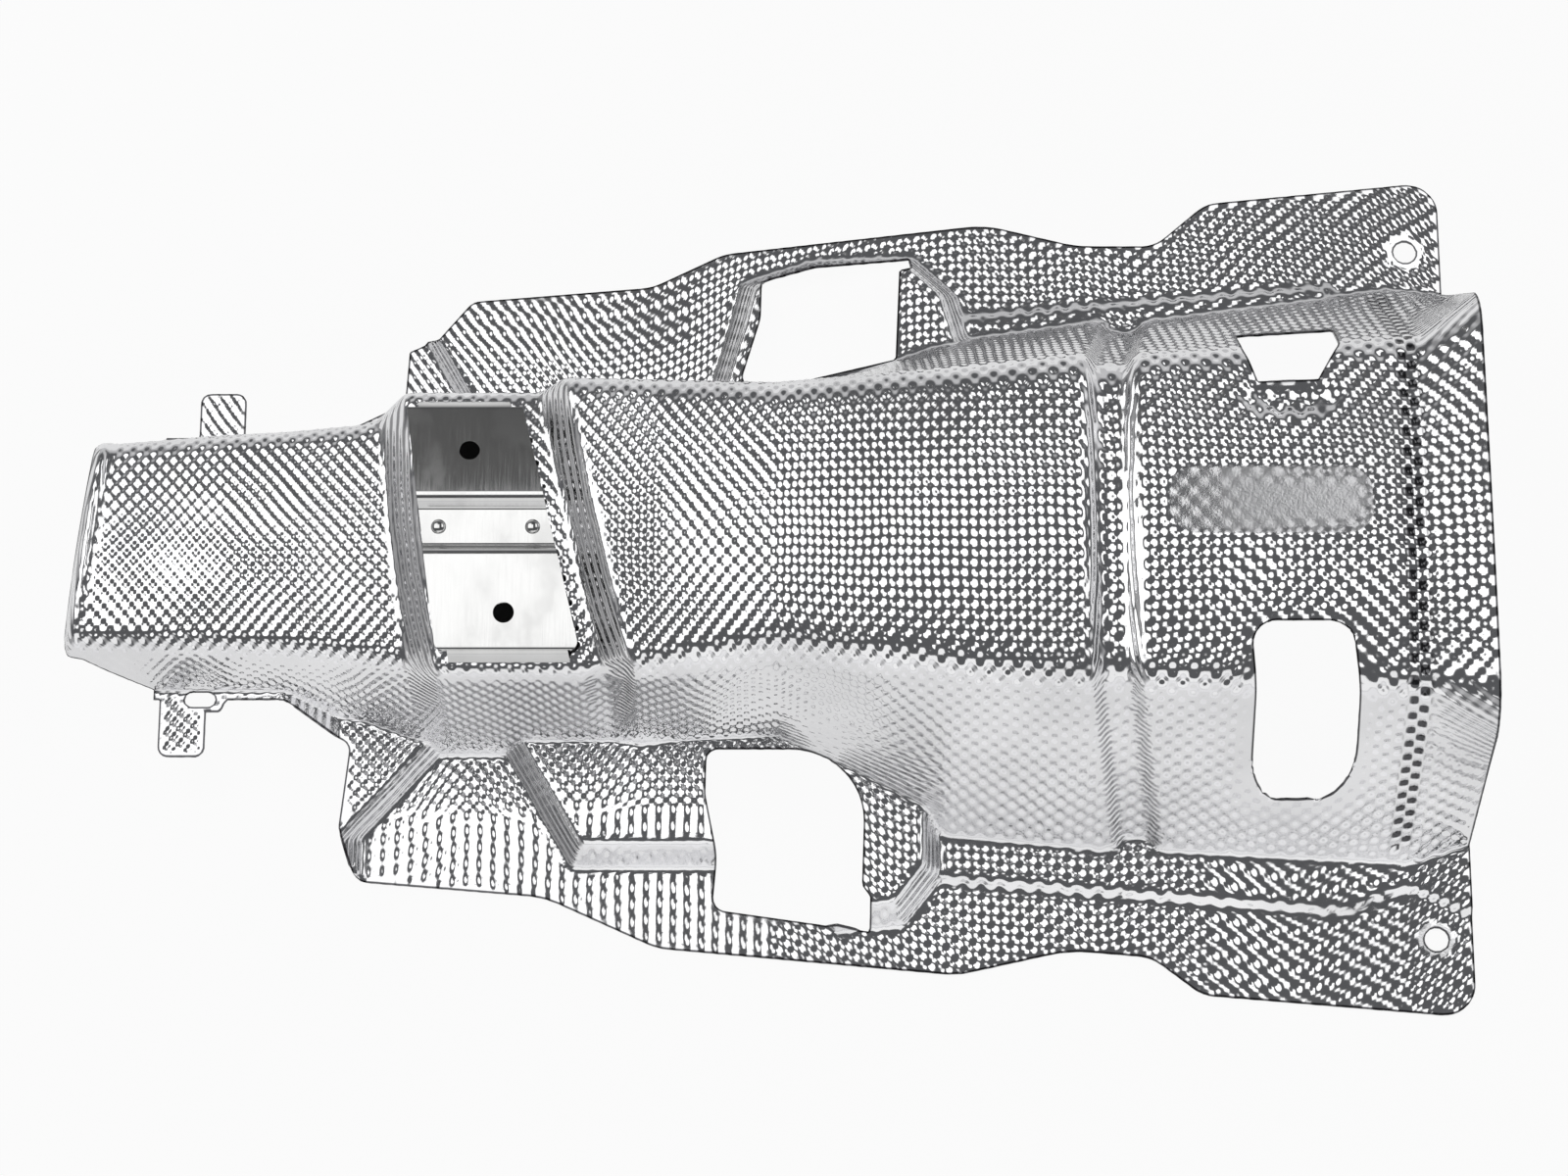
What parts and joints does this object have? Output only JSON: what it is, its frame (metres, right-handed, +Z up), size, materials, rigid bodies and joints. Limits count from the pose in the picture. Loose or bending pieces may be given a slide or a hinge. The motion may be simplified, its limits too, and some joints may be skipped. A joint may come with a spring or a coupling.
{
  "type": "exhaust heat shield",
  "caption": "Pressed, embossed aluminium tunnel shield with wide flanges, windows beside its waist and a folded steel bracket riveted to its crown; it screens a floor from a hot pipe.",
  "frame": {"origin": "on the plane of the flanges' underside, in the middle of the part's length and width", "axes": "+X along the tunnel to its wide end, +Z up to the crown, +Y to the side with the far flange"},
  "size_m": [0.614, 0.3913, 0.11],
  "materials": {
    "sheet": "bright, embossed",
    "bracket": "bright, rolled",
    "rivet": "bright"
  },
  "bodies": {
    "root": {"shield_panel": "sheet", "mounting_bracket": "bracket", "rivets": "rivet"}
  },
  "joints": []
}
